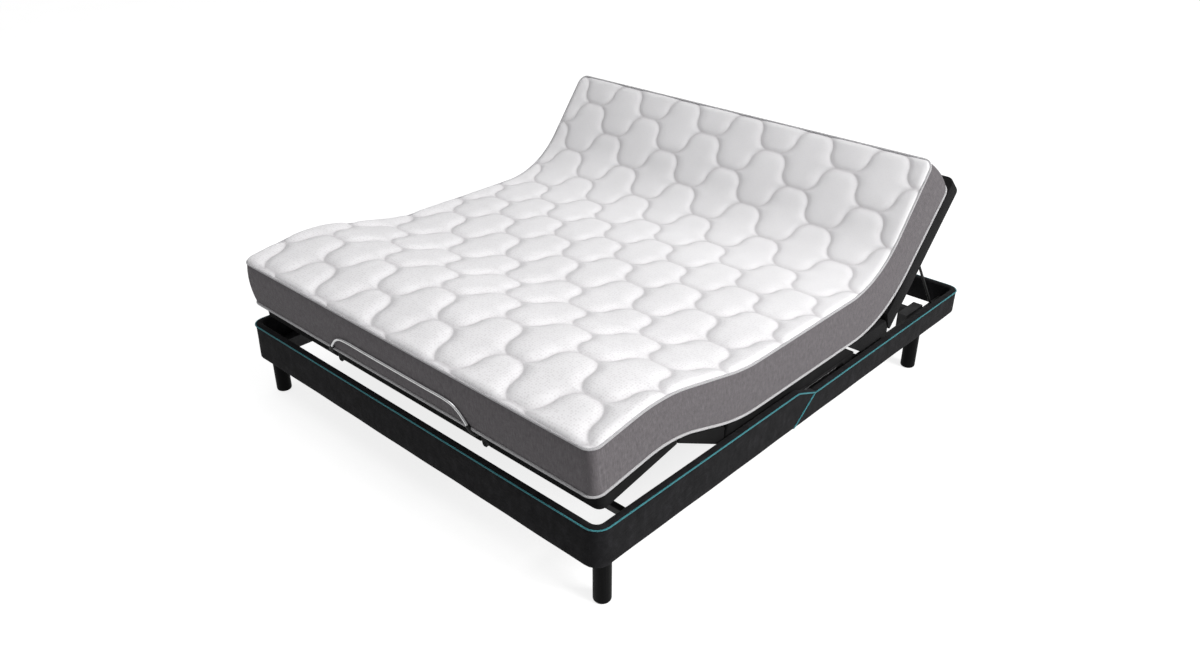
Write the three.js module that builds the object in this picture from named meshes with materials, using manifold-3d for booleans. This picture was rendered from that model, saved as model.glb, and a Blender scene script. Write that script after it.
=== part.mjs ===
// Adjustable bed base with a raised back, a bent knee and a jointed mattress.
// Millimetres, +Z up, +Y towards the head, origin on the floor under the middle of the whole object.
// Each moving section is drawn lying flat and then turned about its hinge to the raised position.
import * as THREE from 'three';
import { mergeVertices } from 'three/addons/utils/BufferGeometryUtils.js';
import Module from 'manifold-3d';

const wasm = await Module();
wasm.setup();

// Outer frame
const FRAME_W = 1645;
const FRAME_L = 2000;
const RAIL_T = 24;
const RAIL_Z0 = 153;
const RAIL_TOP_FOOT = 283;
const RAIL_TOP_HEAD = 243;
const CORNER_R = 45;
const CORNER_LEN = 60;
const RAIL_EDGE_R = 5;
const SEAM_Y = 4;
const SEAM_FOOT_Y = -104;
const SEAM_TOP_Y = -96;
const GAP = 0.4;

// Legs
const LEG_R = 26;
const LEG_EDGE_R = 8;
const LEG_INSET = 41;
const LEG_FOOT_Y = -938;
const LEG_HEAD_Y = 742;

// Inner steel frame
const BEAM_W = 41.5;
const BEAM_H = 44.5;
const BEAM_END_Y = 970;
const STEEL_WALL = 3;
const CROSS_FOOT = { y: -792, w: 22, h: 20, z0: 165 };
const CROSS_CENTRE = { y: 20, w: 40, h: 40, z0: 155.3 };
const CROSS_HEAD = { y: 820, w: 24, h: 30, z0: 160 };
const BOX = { y0: 725, y1: 847, w: 37, top: 206 };
const SUPPORT_W = 30;
const SUPPORT_Z0 = 235;
const SUPPORT_Y0 = -380;
const SUPPORT_END = [285, 366];
const POST_YS = [-345, -90];
const POST_HALF = 22;
const POST_TAPER = 10;
const LAST_POST_Y = 240;
const HIP_POST_LOW = [395.5, 480];
const HIP_POST_HIGH = [314, 480];

// Deck panels
const DECK_HALF_W = 790;
const DECK_BACK_HALF_W = 800;
const DECK_TOP = 303;
const DECK_BACK_TOP = 318;
const DECK_BOTTOM = 247;
const DECK_CORNER_R = 30;
const DECK_FOOT_END = -973;
const DECK_HEAD_END = 1056;
const FOOT_END_T = 55;
const SLIT_TOP_Y = 205;
const SLIT_BOTTOM_Y = 297;
const SLIT_W = 15;

// Hinges: pivot positions with every section flat
const BACK_PIVOT = [490.7, 268];
const THIGH_PIVOT = [-430, 268];
const KNEE_PIVOT = [-666, 275];
const BACK_MAX = 58;
const THIGH_MAX = 35;
const BACK_ANGLE = 47.5;
const THIGH_ANGLE = 21.1;
const KNEE_ANGLE = 26.6;
const WEDGE_MARGIN = 0.5;
const HINGE_X = 700;
const LUG_T = 8;
const EYE_R = 13;
const PIN_R = 6;
const PIN_HOLE_R = 6.35;
const NOTCH_R = 18;
const NOTCH_X0 = 697;
const NOTCH_X1 = 728;
const NOTCH_DEPTH = 60;
const PIVOT_GAP = 1.5;
const KNEE_GAP = 1.2;
const LUG_REACH = 80;

// Motors and levers
const MOTOR_X = 120;
const LEVER_R = 100;
const LEVER_BACK_FLAT = -29;
const LEVER_THIGH_FLAT = 17.5;
const LEVER_T = 6;
const LEVER_EYE_R = 15;
const LEVER_REACH = 75;
const HEAD_T = 10;
const HEAD_HALF_Y = 15;
const HEAD_HALF_Z = 21;
const HEAD_CORNER_R = 6;
const SLOT_HALF_Y = 7.6;
const SLOT_HALF_Z = 14;
const ROD_R = 8;
const ROD_BORE_R = 9;
const MOTOR_TUBE_R = 15;
const ROD_Z_BACK = 174.5;
const ROD_Z_THIGH = 170.5;
const ROD_LENGTH_BACK = 180;
const ROD_LENGTH_THIGH = 120;
const TUBE_END_BACK = 375;
const TUBE_END_THIGH = 365;
const EAR = { start: 0.4, end: 36, halfX: 6, halfZ: 13 };
const HOUSING = { start: 30, end: 105, halfX: 36, low: 17, high: 68 };
const CAN = { start: 100, end: 270, lift: 43, r: 25.5 };
const BORE_START = 205;
const CONTROL_BOX = { x0: -350, x1: -200, y0: 70, y1: 190, z0: 208 };

// Mattress
const MAT_HALF_W = 800;
const MAT_Z0 = 304.5;
const MAT_BACK_Z0 = 319.5;
const MAT_BACK_T = 189;
const MAT_SEAT_T = 168;
const MAT_LEG_T = 156;
const MAT_FOOT_END = -990;
const MAT_HEAD_END = 1000;
const MAT_CORNER_R = 50;

// Mattress retainer at the foot
const BAR_R = 5;
const BAR_TOP_Z = 373;
const BAR_OUT_Y = -1005.5;
const BAR_FOOT_X = 347;
const BAR_BEND_X = 240;
const CLAMP_TOP_Z = 283;
const CLAMP_BOTTOM_Z = 239;
const CLAMP_T = 10;
const CLAMP_Y = -965;
const CLAMP_HALF_W = 15;

// Elastic stays between the frame and the back panel
const STAY_X = 765;
const STAY_R = 5.5;
const STAY_LOW = [890, 202.1];
const STAY_HIGH = [700, 460.7];

const rad = THREE.MathUtils.degToRad;

// ---------------------------------------------------------------- materials
function makeMaterial(color, roughness, metalness) {
  return () => new THREE.MeshStandardMaterial({ color, roughness, metalness });
}
const velvet = makeMaterial(0x2a2a2b, 0.9, 0);
const deckFabric = makeMaterial(0x1c1c1d, 0.95, 0);
const blackSteel = makeMaterial(0x141415, 0.5, 0.4);
const blackLeg = makeMaterial(0x121213, 0.45, 0);
const plastic = makeMaterial(0x1b1b1c, 0.5, 0);
const brightSteel = makeMaterial(0xc8c8ca, 0.25, 0.9);
const strapRubber = makeMaterial(0x1a1a1b, 0.8, 0);
const mattressCloth = makeMaterial(0xe4e4e6, 0.95, 0);

// ---------------------------------------------------------------- solids
function toSolid(geometry) {
  const bare = geometry.clone();
  bare.deleteAttribute('normal');
  bare.deleteAttribute('uv');
  const merged = mergeVertices(bare, 1e-4);
  const vertProperties = new Float32Array(merged.attributes.position.array);
  const triVerts = new Uint32Array(merged.index.array);
  return new wasm.Manifold(new wasm.Mesh({ numProp: 3, vertProperties, triVerts }));
}

function toGeometry(solid) {
  const mesh = solid.getMesh();
  const geometry = new THREE.BufferGeometry();
  geometry.setAttribute('position', new THREE.BufferAttribute(new Float32Array(mesh.vertProperties), 3));
  geometry.setIndex(new THREE.BufferAttribute(new Uint32Array(mesh.triVerts), 1));
  return geometry;
}

function join(...geometries) {
  const solids = geometries.map(toSolid);
  return toGeometry(solids.reduce((a, b) => a.add(b)));
}

function cut(geometry, ...tools) {
  const solid = tools.map(toSolid).reduce((a, b) => a.subtract(b), toSolid(geometry));
  return toGeometry(solid);
}

function overlap(a, b) {
  return toGeometry(toSolid(a).intersect(toSolid(b)));
}

function mesh(name, geometry, material, parent) {
  const flat = geometry.index ? geometry.toNonIndexed() : geometry;
  flat.computeVertexNormals();
  const item = new THREE.Mesh(flat, material());
  item.name = name;
  parent.add(item);
  return item;
}

function polygon(points) {
  return new THREE.Shape(points.map(([a, b]) => new THREE.Vector2(a, b)));
}

// A block given by its low and high corner
function block(x0, y0, z0, x1, y1, z1) {
  const geometry = new THREE.BoxGeometry(x1 - x0, y1 - y0, z1 - z0);
  geometry.translate((x0 + x1) / 2, (y0 + y1) / 2, (z0 + z1) / 2);
  return geometry;
}

// A (Y, Z) outline drawn out along X between two values, with an optional rounded edge
function alongX(shape, x0, x1, edge = 0) {
  const options = {
    depth: x1 - x0 - 2 * edge,
    curveSegments: 10,
    bevelEnabled: edge > 0,
    bevelSize: edge,
    bevelThickness: edge,
    bevelOffset: -edge,
    bevelSegments: 3,
  };
  const geometry = new THREE.ExtrudeGeometry(shape, options);
  const basis = new THREE.Matrix4().makeBasis(
    new THREE.Vector3(0, 1, 0), new THREE.Vector3(0, 0, 1), new THREE.Vector3(1, 0, 0));
  geometry.applyMatrix4(basis);
  geometry.translate(x0 + edge, 0, 0);
  return geometry;
}

// An (X, Y) outline drawn up between two heights
function upward(shape, z0, z1, edge = 0) {
  const options = {
    depth: z1 - z0 - 2 * edge,
    curveSegments: 8,
    bevelEnabled: edge > 0,
    bevelSize: edge,
    bevelThickness: edge,
    bevelOffset: -edge,
    bevelSegments: 3,
  };
  const geometry = new THREE.ExtrudeGeometry(shape, options);
  geometry.translate(0, 0, z0 + edge);
  return geometry;
}

function rod(x, y0, y1, z, radius, sides = 20) {
  const geometry = new THREE.CylinderGeometry(radius, radius, y1 - y0, sides);
  geometry.translate(x, (y0 + y1) / 2, z);
  return geometry;
}

function pinAlongX(x0, x1, y, z, radius, sides = 24) {
  const geometry = new THREE.CylinderGeometry(radius, radius, x1 - x0, sides);
  geometry.rotateZ(Math.PI / 2);
  geometry.translate((x0 + x1) / 2, y, z);
  return geometry;
}

// Plan outline of a panel whose end at endY has rounded corners and whose other end is square
function planShape(halfW, squareY, endY, radius) {
  const s = Math.sign(endY - squareY);
  const inner = endY - s * radius;
  const shape = new THREE.Shape();
  shape.moveTo(-halfW, squareY);
  shape.lineTo(-halfW, inner);
  shape.quadraticCurveTo(-halfW, endY, -halfW + radius, endY);
  shape.lineTo(halfW - radius, endY);
  shape.quadraticCurveTo(halfW, endY, halfW, inner);
  shape.lineTo(halfW, squareY);
  shape.closePath();
  return shape;
}

// Half-width of the wedge that a hinge needs at a height above its pivot
function wedge(pivot, z, maxAngle) {
  const rise = Math.max(z - pivot[1], 0);
  return PIVOT_GAP + rise * Math.tan(rad(maxAngle / 2 + WEDGE_MARGIN));
}

// ---------------------------------------------------------------- groups
const bed = new THREE.Group();

// A group whose children are given in flat coordinates and which is turned about a pivot
function section(parent, pivot, angle) {
  const turned = new THREE.Group();
  turned.position.set(0, pivot[0], pivot[1]);
  turned.rotation.x = rad(angle);
  const content = new THREE.Group();
  content.position.set(0, -pivot[0], -pivot[1]);
  turned.add(content);
  parent.add(turned);
  return content;
}
const back = section(bed, BACK_PIVOT, BACK_ANGLE);
const thigh = section(bed, THIGH_PIVOT, -THIGH_ANGLE);
const foot = section(thigh, KNEE_PIVOT, KNEE_ANGLE);

// ---------------------------------------------------------------- outer frame
const HALF_W = FRAME_W / 2;
const HALF_L = FRAME_L / 2;

// End rail with both corners; s = -1 at the foot, +1 at the head
function endRail(name, s, top) {
  const inner = HALF_W - RAIL_T;
  const start = s * (HALF_L - CORNER_LEN);
  const shape = new THREE.Shape();
  shape.moveTo(-HALF_W, start);
  shape.lineTo(-HALF_W, s * (HALF_L - CORNER_R));
  shape.quadraticCurveTo(-HALF_W, s * HALF_L, -HALF_W + CORNER_R, s * HALF_L);
  shape.lineTo(HALF_W - CORNER_R, s * HALF_L);
  shape.quadraticCurveTo(HALF_W, s * HALF_L, HALF_W, s * (HALF_L - CORNER_R));
  shape.lineTo(HALF_W, start);
  shape.lineTo(inner, start);
  shape.lineTo(inner, s * (HALF_L - RAIL_T));
  shape.lineTo(-inner, s * (HALF_L - RAIL_T));
  shape.lineTo(-inner, start);
  shape.closePath();
  mesh(name, upward(shape, RAIL_Z0, top, RAIL_EDGE_R), velvet, bed);
}
endRail('rail_foot', -1, RAIL_TOP_FOOT);
endRail('rail_head', 1, RAIL_TOP_HEAD);

const seamSlope = (RAIL_TOP_HEAD - RAIL_Z0) / (SEAM_Y - SEAM_FOOT_Y);
const footSide = polygon([
  [-HALF_L + CORNER_LEN + GAP, RAIL_Z0], [SEAM_FOOT_Y, RAIL_Z0], [SEAM_Y, RAIL_TOP_HEAD],
  [SEAM_TOP_Y, RAIL_TOP_FOOT], [-HALF_L + CORNER_LEN + GAP, RAIL_TOP_FOOT]]);
const headSide = polygon([
  [SEAM_FOOT_Y + 2 / seamSlope, RAIL_Z0], [HALF_L - CORNER_LEN - GAP, RAIL_Z0],
  [HALF_L - CORNER_LEN - GAP, RAIL_TOP_HEAD], [SEAM_Y + 2 / seamSlope, RAIL_TOP_HEAD]]);
for (const [side, s] of [['left', -1], ['right', 1]]) {
  const x0 = s > 0 ? HALF_W - RAIL_T : -HALF_W;
  mesh(`rail_side_foot_${side}`, alongX(footSide, x0, x0 + RAIL_T, RAIL_EDGE_R), velvet, bed);
  mesh(`rail_side_head_${side}`, alongX(headSide, x0, x0 + RAIL_T, RAIL_EDGE_R), velvet, bed);
}

// ---------------------------------------------------------------- legs
function leg(name, x, y) {
  const top = RAIL_Z0 - GAP;
  const profile = [new THREE.Vector2(0, 0)];
  for (let i = 0; i <= 4; i += 1) {
    const a = (i / 4) * Math.PI / 2;
    const r = LEG_R - LEG_EDGE_R + LEG_EDGE_R * Math.sin(a);
    profile.push(new THREE.Vector2(r, LEG_EDGE_R * (1 - Math.cos(a))));
  }
  profile.push(new THREE.Vector2(LEG_R, top), new THREE.Vector2(0, top));
  const geometry = new THREE.LatheGeometry(profile, 28);
  geometry.rotateX(Math.PI / 2);
  geometry.translate(x, y, 0);
  mesh(name, geometry, blackLeg, bed);
}
for (const [side, s] of [['left', -1], ['right', 1]]) {
  leg(`leg_foot_${side}`, s * (HALF_W - LEG_INSET), LEG_FOOT_Y);
  leg(`leg_head_${side}`, s * (HALF_W - LEG_INSET), LEG_HEAD_Y);
}

// ---------------------------------------------------------------- inner steel frame
const BEAM_X1 = HALF_W - RAIL_T - 0.5;
const BEAM_X0 = BEAM_X1 - BEAM_W;
const BEAM_Z0 = RAIL_Z0 + 0.3;
const BEAM_Z1 = BEAM_Z0 + BEAM_H;
for (const [side, s] of [['left', -1], ['right', 1]]) {
  const x0 = s > 0 ? BEAM_X0 : -BEAM_X1;
  const outer = block(x0, -BEAM_END_Y, BEAM_Z0, x0 + BEAM_W, BEAM_END_Y, BEAM_Z1);
  const hollow = block(x0 + STEEL_WALL, -BEAM_END_Y - 10, BEAM_Z0 + STEEL_WALL,
    x0 + BEAM_W - STEEL_WALL, BEAM_END_Y + 10, BEAM_Z1 - STEEL_WALL);
  mesh(`side_beam_${side}`, cut(outer, hollow), blackSteel, bed);
}

// Tube across the bed, with an optional box at each end
function crossMember(name, { y, w, h, z0 }, box = null) {
  const end = BEAM_X0 - GAP;
  let solid = block(-end, y - w / 2, z0, end, y + w / 2, z0 + h);
  if (box) {
    solid = join(solid, block(end - box.w, box.y0, BEAM_Z0, end, box.y1, box.top),
      block(-end, box.y0, BEAM_Z0, -end + box.w, box.y1, box.top));
  }
  const bore = block(-end - 10, y - w / 2 + STEEL_WALL, z0 + STEEL_WALL,
    end + 10, y + w / 2 - STEEL_WALL, z0 + h - STEEL_WALL);
  mesh(name, cut(solid, bore), blackSteel, bed);
}
crossMember('cross_member_foot', CROSS_FOOT);
crossMember('cross_member_centre', CROSS_CENTRE);
crossMember('cross_member_head', CROSS_HEAD, BOX);

// Flat bar under the seat panel on posts that stand on the beam; its end slants like the panel's end
const UNDER = DECK_BOTTOM - GAP;
const POST_Z0 = BEAM_Z1 + GAP;
const supportPoints = [[SUPPORT_Y0, SUPPORT_Z0], [SUPPORT_Y0, UNDER], [SUPPORT_END[0], UNDER],
  [SUPPORT_END[1], POST_Z0], [LAST_POST_Y, POST_Z0], [LAST_POST_Y - POST_TAPER, SUPPORT_Z0]];
for (const y of [...POST_YS].reverse()) {
  supportPoints.push([y + POST_HALF + POST_TAPER, SUPPORT_Z0], [y + POST_HALF, POST_Z0],
    [y - POST_HALF, POST_Z0], [y - POST_HALF - POST_TAPER, SUPPORT_Z0]);
}
const hipPost = polygon([[HIP_POST_LOW[0], POST_Z0], [HIP_POST_LOW[1], POST_Z0],
  [HIP_POST_HIGH[1], UNDER], [HIP_POST_HIGH[0], UNDER]]);
for (const [side, s] of [['left', -1], ['right', 1]]) {
  const x0 = s > 0 ? BEAM_X0 : -BEAM_X0 - SUPPORT_W;
  mesh(`seat_support_${side}`, alongX(polygon(supportPoints), x0, x0 + SUPPORT_W), blackSteel, bed);
  mesh(`hip_post_${side}`, alongX(hipPost, x0, x0 + SUPPORT_W), blackSteel, bed);
}

// ---------------------------------------------------------------- deck panels
const CUT_LOW = 200;
const CUT_HIGH = 340;

function hingeNotches([y, z]) {
  return [-1, 1].map((s) => block(Math.min(s * NOTCH_X0, s * NOTCH_X1), y - NOTCH_R, z - NOTCH_DEPTH,
    Math.max(s * NOTCH_X0, s * NOTCH_X1), y + NOTCH_R, z + NOTCH_R));
}

function clampNotches() {
  const half = CLAMP_HALF_W + GAP;
  return [-1, 1].map((s) => block(s * BAR_FOOT_X - half, DECK_FOOT_END - 5, CUT_LOW,
    s * BAR_FOOT_X + half, CLAMP_Y + GAP, CUT_HIGH));
}

function deckPanel(name, outline, halfW, plan, tools, parent) {
  const body = alongX(polygon(outline), -halfW, halfW);
  const trimmed = plan ? overlap(body, upward(plan, CUT_LOW, CUT_HIGH)) : body;
  mesh(name, cut(trimmed, ...tools), deckFabric, parent);
}
const hipGap = wedge(BACK_PIVOT, DECK_TOP, BACK_MAX);
const backGap = wedge(BACK_PIVOT, DECK_BACK_TOP, BACK_MAX);
const thighGap = wedge(THIGH_PIVOT, DECK_TOP, THIGH_MAX);

deckPanel('deck_seat', [
  [THIGH_PIVOT[0] + PIVOT_GAP, DECK_BOTTOM], [SLIT_BOTTOM_Y, DECK_BOTTOM], [SLIT_TOP_Y, DECK_TOP],
  [THIGH_PIVOT[0] + thighGap, DECK_TOP], [THIGH_PIVOT[0] + PIVOT_GAP, THIGH_PIVOT[1]]],
DECK_HALF_W, null, hingeNotches(THIGH_PIVOT), bed);
deckPanel('deck_hip', [
  [SLIT_BOTTOM_Y + SLIT_W, DECK_BOTTOM], [BACK_PIVOT[0] - PIVOT_GAP, DECK_BOTTOM],
  [BACK_PIVOT[0] - PIVOT_GAP, BACK_PIVOT[1]], [BACK_PIVOT[0] - hipGap, DECK_TOP],
  [SLIT_TOP_Y + SLIT_W, DECK_TOP]],
DECK_BACK_HALF_W, null, hingeNotches(BACK_PIVOT), bed);
deckPanel('deck_back', [
  [BACK_PIVOT[0] + PIVOT_GAP, DECK_BOTTOM], [DECK_HEAD_END, DECK_BOTTOM], [DECK_HEAD_END, DECK_BACK_TOP],
  [BACK_PIVOT[0] + backGap, DECK_BACK_TOP], [BACK_PIVOT[0] + PIVOT_GAP, BACK_PIVOT[1]]],
DECK_BACK_HALF_W, planShape(DECK_BACK_HALF_W, 400, DECK_HEAD_END, DECK_CORNER_R),
hingeNotches(BACK_PIVOT), back);
deckPanel('deck_thigh', [
  [KNEE_PIVOT[0] + KNEE_GAP, KNEE_PIVOT[1]], [THIGH_PIVOT[0] - PIVOT_GAP, DECK_BOTTOM],
  [THIGH_PIVOT[0] - PIVOT_GAP, THIGH_PIVOT[1]], [THIGH_PIVOT[0] - thighGap, DECK_TOP],
  [KNEE_PIVOT[0] + KNEE_GAP, DECK_TOP]],
DECK_HALF_W, null, [...hingeNotches(THIGH_PIVOT), ...hingeNotches(KNEE_PIVOT)], thigh);
deckPanel('deck_foot', [
  [DECK_FOOT_END, DECK_TOP - FOOT_END_T], [KNEE_PIVOT[0] - KNEE_GAP, KNEE_PIVOT[1]],
  [KNEE_PIVOT[0] - KNEE_GAP, DECK_TOP], [DECK_FOOT_END, DECK_TOP]],
DECK_HALF_W, planShape(DECK_HALF_W, -600, DECK_FOOT_END, DECK_CORNER_R),
[...hingeNotches(KNEE_PIVOT), ...clampNotches()], foot);

// ---------------------------------------------------------------- hinges
// Plate with a round eye at the pivot and an arm that lies under a panel.
// dir is the side of the pivot along Y; under and slope give the panel's underside from the pivot outwards.
function lugPlate([py, pz], dir, under, slope, x0, x1) {
  const top = (u) => under + slope * u - 0.5;
  const near = NOTCH_R - 0.6;
  const end = top(LUG_REACH);
  const arm = [[-7, -10], [10, -5], [near, top(near)], [LUG_REACH, end], [LUG_REACH, end - 9],
    [12, top(near) - 12]];
  const outline = polygon(arm.map(([u, z]) => [py + dir * u, pz + z]));
  return join(alongX(outline, x0, x1), pinAlongX(x0, x1, py, pz, EYE_R));
}

function hinge(name, pivot, fixed, moving, fixedParent, movingParent) {
  for (const [side, s] of [['left', -1], ['right', 1]]) {
    const plate = (offset) => (s > 0 ? [HINGE_X + offset, HINGE_X + offset + LUG_T] :
      [-HINGE_X - offset - LUG_T, -HINGE_X - offset]);
    const [a0, a1] = plate(0);
    const [b0, b1] = plate(LUG_T + 1);
    const pinEnd = s * (HINGE_X + 2 * LUG_T + 8);
    const pin = pinAlongX(Math.min(pinEnd, s * (HINGE_X + 4)), Math.max(pinEnd, s * (HINGE_X + 4)),
      pivot[0], pivot[1], PIN_R);
    const fixedPlate = join(lugPlate(pivot, ...fixed, a0, a1), pin);
    const movingPlate = cut(lugPlate(pivot, ...moving, b0, b1),
      pinAlongX(b0 - 5, b1 + 5, pivot[0], pivot[1], PIN_HOLE_R));
    mesh(`${name}_lug_fixed_${side}`, fixedPlate, blackSteel, fixedParent);
    mesh(`${name}_lug_moving_${side}`, movingPlate, blackSteel, movingParent);
  }
}
const flatUnder = DECK_BOTTOM - BACK_PIVOT[1];
const thighSlope = (KNEE_PIVOT[1] - DECK_BOTTOM) / (THIGH_PIVOT[0] - KNEE_PIVOT[0]);
const footSlope = (KNEE_PIVOT[1] - DECK_TOP + FOOT_END_T) / (KNEE_PIVOT[0] - DECK_FOOT_END);
hinge('back_hinge', BACK_PIVOT, [-1, flatUnder, 0], [1, flatUnder, 0], bed, back);
hinge('thigh_hinge', THIGH_PIVOT, [1, flatUnder, 0], [-1, flatUnder, thighSlope], bed, thigh);
hinge('knee_hinge', KNEE_PIVOT, [1, 0, -thighSlope], [-1, 0, -footSlope], thigh, foot);

// ---------------------------------------------------------------- motors, push rods and levers
// Two plates under a panel that hold a pin for the push rod; dir is the side of the pivot that carries them
function lever(name, [py, pz], dir, flatAngle, slope, x, parent) {
  const pinU = dir * LEVER_R * Math.sin(rad(flatAngle));
  const pinZ = -LEVER_R * Math.cos(rad(flatAngle));
  const top = (u) => DECK_BOTTOM - pz + slope * u - 0.5;
  const outline = [[6, top(6)], [LEVER_REACH, top(LEVER_REACH)]];
  for (let i = 0; i <= 6; i += 1) {
    const a = rad(-50 - 25 * i);
    outline.push([pinU + LEVER_EYE_R * Math.cos(a), pinZ + LEVER_EYE_R * Math.sin(a)]);
  }
  const shape = polygon(outline.map(([u, z]) => [py + dir * u, pz + z]));
  const clear = HEAD_T / 2 + 3;
  const spacer = polygon([[20, top(20) - 6], [56, top(56) - 6], [40, top(40) - 18], [20, top(20) - 18]]
    .map(([u, z]) => [py + dir * u, pz + z]));
  const solid = join(
    alongX(shape, x - clear - LEVER_T, x - clear), alongX(shape, x + clear, x + clear + LEVER_T),
    alongX(spacer, x - clear - 1, x + clear + 1),
    pinAlongX(x - clear - 1, x + clear + 1, py + dir * pinU, pz + pinZ, PIN_R));
  mesh(name, solid, blackSteel, parent);
}
lever('back_lever', BACK_PIVOT, 1, LEVER_BACK_FLAT, 0, MOTOR_X, back);
lever('thigh_lever', THIGH_PIVOT, -1, LEVER_THIGH_FLAT, thighSlope, -MOTOR_X, thigh);

// Motor with its thrust tube; face is the centre cross member's side, dir points along the push rod
function motor(name, x, z, face, dir, tubeEnd) {
  const at = (u0, u1) => (dir > 0 ? [face + u0, face + u1] : [face - u1, face - u0]);
  const [ear0, ear1] = at(EAR.start, EAR.end);
  const [box0, box1] = at(HOUSING.start, HOUSING.end);
  const [tube0, tube1] = at(CAN.start, tubeEnd);
  const [can0, can1] = at(CAN.start, CAN.end);
  const [bore0, bore1] = at(BORE_START, tubeEnd + 10);
  const solid = join(
    block(x - EAR.halfX, ear0, z - EAR.halfZ, x + EAR.halfX, ear1, z + EAR.halfZ),
    block(x - HOUSING.halfX, box0, z - HOUSING.low, x + HOUSING.halfX, box1, z + HOUSING.high),
    rod(x, tube0, tube1, z, MOTOR_TUBE_R), rod(x, can0, can1, z + CAN.lift, CAN.r, 28));
  mesh(name, cut(solid, rod(x, bore0, bore1, z, ROD_BORE_R)), plastic, bed);
}

// A rectangle with rounded corners about a point
function roundedPlate(y, z, halfY, halfZ, r) {
  const shape = new THREE.Shape();
  shape.moveTo(y - halfY, z - halfZ + r);
  shape.quadraticCurveTo(y - halfY, z - halfZ, y - halfY + r, z - halfZ);
  shape.lineTo(y + halfY - r, z - halfZ);
  shape.quadraticCurveTo(y + halfY, z - halfZ, y + halfY, z - halfZ + r);
  shape.lineTo(y + halfY, z + halfZ - r);
  shape.quadraticCurveTo(y + halfY, z + halfZ, y + halfY - r, z + halfZ);
  shape.lineTo(y - halfY + r, z + halfZ);
  shape.quadraticCurveTo(y - halfY, z + halfZ, y - halfY, z + halfZ - r);
  shape.closePath();
  return shape;
}

function pushRod(name, x, z, headY, dir, length) {
  const outline = roundedPlate(headY, z, HEAD_HALF_Y, HEAD_HALF_Z, HEAD_CORNER_R);
  const slot = new THREE.Path();
  const arcZ = SLOT_HALF_Z - SLOT_HALF_Y;
  slot.absarc(headY, z + arcZ, SLOT_HALF_Y, 0, Math.PI, false);
  slot.absarc(headY, z - arcZ, SLOT_HALF_Y, Math.PI, Math.PI * 2, false);
  outline.holes.push(slot);
  const plate = alongX(outline, x - HEAD_T / 2, x + HEAD_T / 2);
  const near = headY - dir * (HEAD_HALF_Y - 3);
  const far = near - dir * length;
  const shaft = rod(x, Math.min(near, far), Math.max(near, far), z, ROD_R);
  mesh(name, join(plate, shaft), brightSteel, bed);
}

// Where a lever's pin stands when its section is raised by an angle
function pinY(pivot, flatAngle, turn) {
  return pivot[0] + LEVER_R * Math.sin(rad(flatAngle + turn));
}
const headFace = CROSS_CENTRE.y + CROSS_CENTRE.w / 2;
const footFace = CROSS_CENTRE.y - CROSS_CENTRE.w / 2;
const backPinY = pinY(BACK_PIVOT, LEVER_BACK_FLAT, BACK_ANGLE);
const thighPinY = pinY(THIGH_PIVOT, LEVER_THIGH_FLAT, -THIGH_ANGLE);
motor('back_motor', MOTOR_X, ROD_Z_BACK, headFace, 1, TUBE_END_BACK);
motor('thigh_motor', -MOTOR_X, ROD_Z_THIGH, footFace, -1, TUBE_END_THIGH);
pushRod('back_push_rod', MOTOR_X, ROD_Z_BACK, backPinY, 1, ROD_LENGTH_BACK);
pushRod('thigh_push_rod', -MOTOR_X, ROD_Z_THIGH, thighPinY, -1, ROD_LENGTH_THIGH);

mesh('control_box', block(CONTROL_BOX.x0, CONTROL_BOX.y0, CONTROL_BOX.z0,
  CONTROL_BOX.x1, CONTROL_BOX.y1, UNDER), plastic, bed);

// ---------------------------------------------------------------- mattress
function mattressPiece(name, outline, plan, parent) {
  const body = alongX(polygon(outline), -MAT_HALF_W, MAT_HALF_W);
  mesh(name, plan ? overlap(body, upward(plan, 200, 600)) : body, mattressCloth, parent);
}

// Corners of a mattress end at a hinge: low corner first, each stepped back by the wedge at its height
function hingeEnd(pivot, maxAngle, dir, z0, z1) {
  return [z0, z1].map((z) => [pivot[0] + dir * wedge(pivot, z, maxAngle), z]);
}
const backZ1 = MAT_BACK_Z0 + MAT_BACK_T;
const seatZ1 = MAT_Z0 + MAT_SEAT_T;
const legZ1 = MAT_Z0 + MAT_LEG_T;
const [backLow, backHigh] = hingeEnd(BACK_PIVOT, BACK_MAX, 1, MAT_BACK_Z0, backZ1);
const [hipLow, hipHigh] = hingeEnd(BACK_PIVOT, BACK_MAX, -1, MAT_Z0, seatZ1);
const [seatLow, seatHigh] = hingeEnd(THIGH_PIVOT, THIGH_MAX, 1, MAT_Z0, seatZ1);
const [thighLow, thighHigh] = hingeEnd(THIGH_PIVOT, THIGH_MAX, -1, MAT_Z0, legZ1);
mattressPiece('mattress_back', [backLow, [MAT_HEAD_END, MAT_BACK_Z0], [MAT_HEAD_END, backZ1], backHigh],
  planShape(MAT_HALF_W, 400, MAT_HEAD_END, MAT_CORNER_R), back);
mattressPiece('mattress_seat', [seatLow, hipLow, hipHigh, seatHigh], null, bed);
mattressPiece('mattress_thigh', [[KNEE_PIVOT[0] + KNEE_GAP, MAT_Z0], thighLow, thighHigh,
  [KNEE_PIVOT[0] + KNEE_GAP, legZ1]], null, thigh);
mattressPiece('mattress_foot', [[MAT_FOOT_END, MAT_Z0], [KNEE_PIVOT[0] - KNEE_GAP, MAT_Z0],
  [KNEE_PIVOT[0] - KNEE_GAP, legZ1], [MAT_FOOT_END, legZ1]],
planShape(MAT_HALF_W, -600, MAT_FOOT_END, MAT_CORNER_R), foot);

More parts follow.
